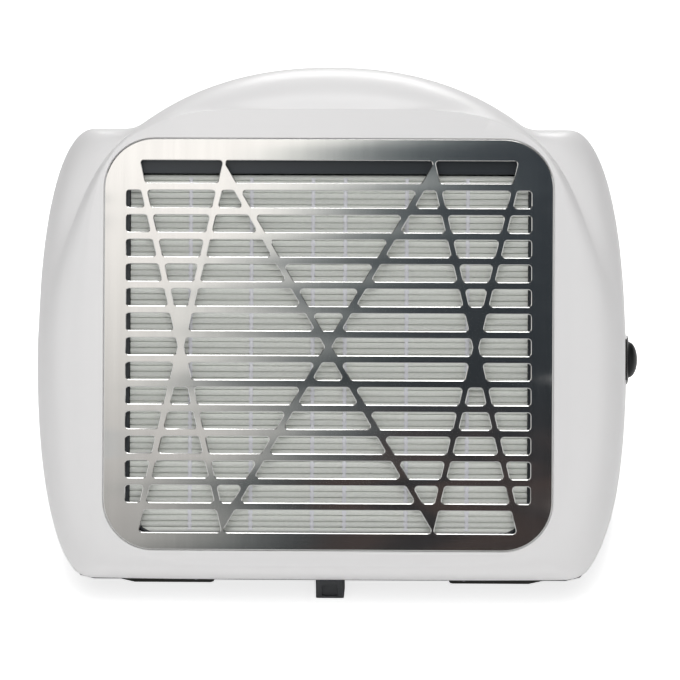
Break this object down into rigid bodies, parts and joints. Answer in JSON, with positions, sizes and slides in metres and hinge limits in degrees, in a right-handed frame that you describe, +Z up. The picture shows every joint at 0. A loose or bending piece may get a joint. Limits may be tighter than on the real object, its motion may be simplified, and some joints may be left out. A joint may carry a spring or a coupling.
{
  "type": "nail dust collector",
  "caption": "Desktop nail dust collector: leaning barrel-shaped housing with an arched crown, lift-off laser-cut grille over a pleated filter, an axial fan, rear vents and a side push button.",
  "frame": {"origin": "centre of the bounding box in plan, at the underside of the foot soles", "axes": "+Z up, -Y towards the user in front of the leaning grille, +X towards the side with the push button"},
  "size_m": [0.2768, 0.1527, 0.2259],
  "materials": {
    "housing": "gloss white moulded ABS",
    "grille": "brushed stainless sheet",
    "paper": "pleated filter paper",
    "slate": "dark matt",
    "foam": "closed-cell foam strip",
    "sole": "matt rubber",
    "black": "satin black",
    "charcoal": "fine matt",
    "fastener": "zinc plated",
    "magnet": "nickel plated",
    "winding": "enamelled copper",
    "board": "solder mask"
  },
  "bodies": {
    "housing": {"front_shell": "housing", "rear_shell": "housing", "base_cover": "charcoal", "centre_foot": "charcoal", "foot_sole_front_left": "sole", "foot_sole_front_right": "sole", "foot_sole_rear_left": "sole", "foot_sole_rear_right": "sole", "cover_screw_1": "fastener", "cover_screw_2": "fastener", "cover_screw_3": "fastener", "cover_screw_4": "fastener", "grille_magnet_1": "magnet", "grille_magnet_2": "magnet", "grille_magnet_3": "magnet", "grille_magnet_4": "magnet", "filter_tray": "slate", "fan_frame": "black", "fan_bearing_front": "fastener", "fan_bearing_rear": "fastener", "fan_stator": "winding", "fan_screw_1": "fastener", "fan_screw_2": "fastener", "fan_screw_3": "fastener", "fan_screw_4": "fastener", "button_bezel": "black", "switch_body": "charcoal", "switch_nut": "fastener", "power_socket": "black", "control_board": "board"},
    "grille": {"grille_plate": "grille"},
    "filter": {"filter_frame": "slate", "filter_media": "paper", "filter_gasket": "foam"},
    "fan": {"fan_rotor": "black", "fan_shaft": "fastener"},
    "button": {"power_button": "black"}
  },
  "joints": [
    {"name": "grille_lift", "type": "slide", "parent": "housing", "child": "grille", "axis": [0, -0.9063, 0.4226], "range_m": [0, 0.08]},
    {"name": "filter_lift", "type": "slide", "parent": "housing", "child": "filter", "axis": [0, -0.9063, 0.4226], "range_m": [0, 0.04]},
    {"name": "fan_spin", "type": "hinge", "parent": "housing", "child": "fan", "pos_m": [-0.00265, -0.03296, 0.11803], "axis": [0, -0.9063, 0.4226], "continuous": true},
    {"name": "button_press", "type": "slide", "parent": "housing", "child": "button", "axis": [-1, 0, 0], "range_m": [0, 0.003], "stiffness_N_per_m": 500}
  ],
  "couplings": [
    {"joint": "filter_lift", "follows": "grille_lift", "ratio": 0.5}
  ]
}
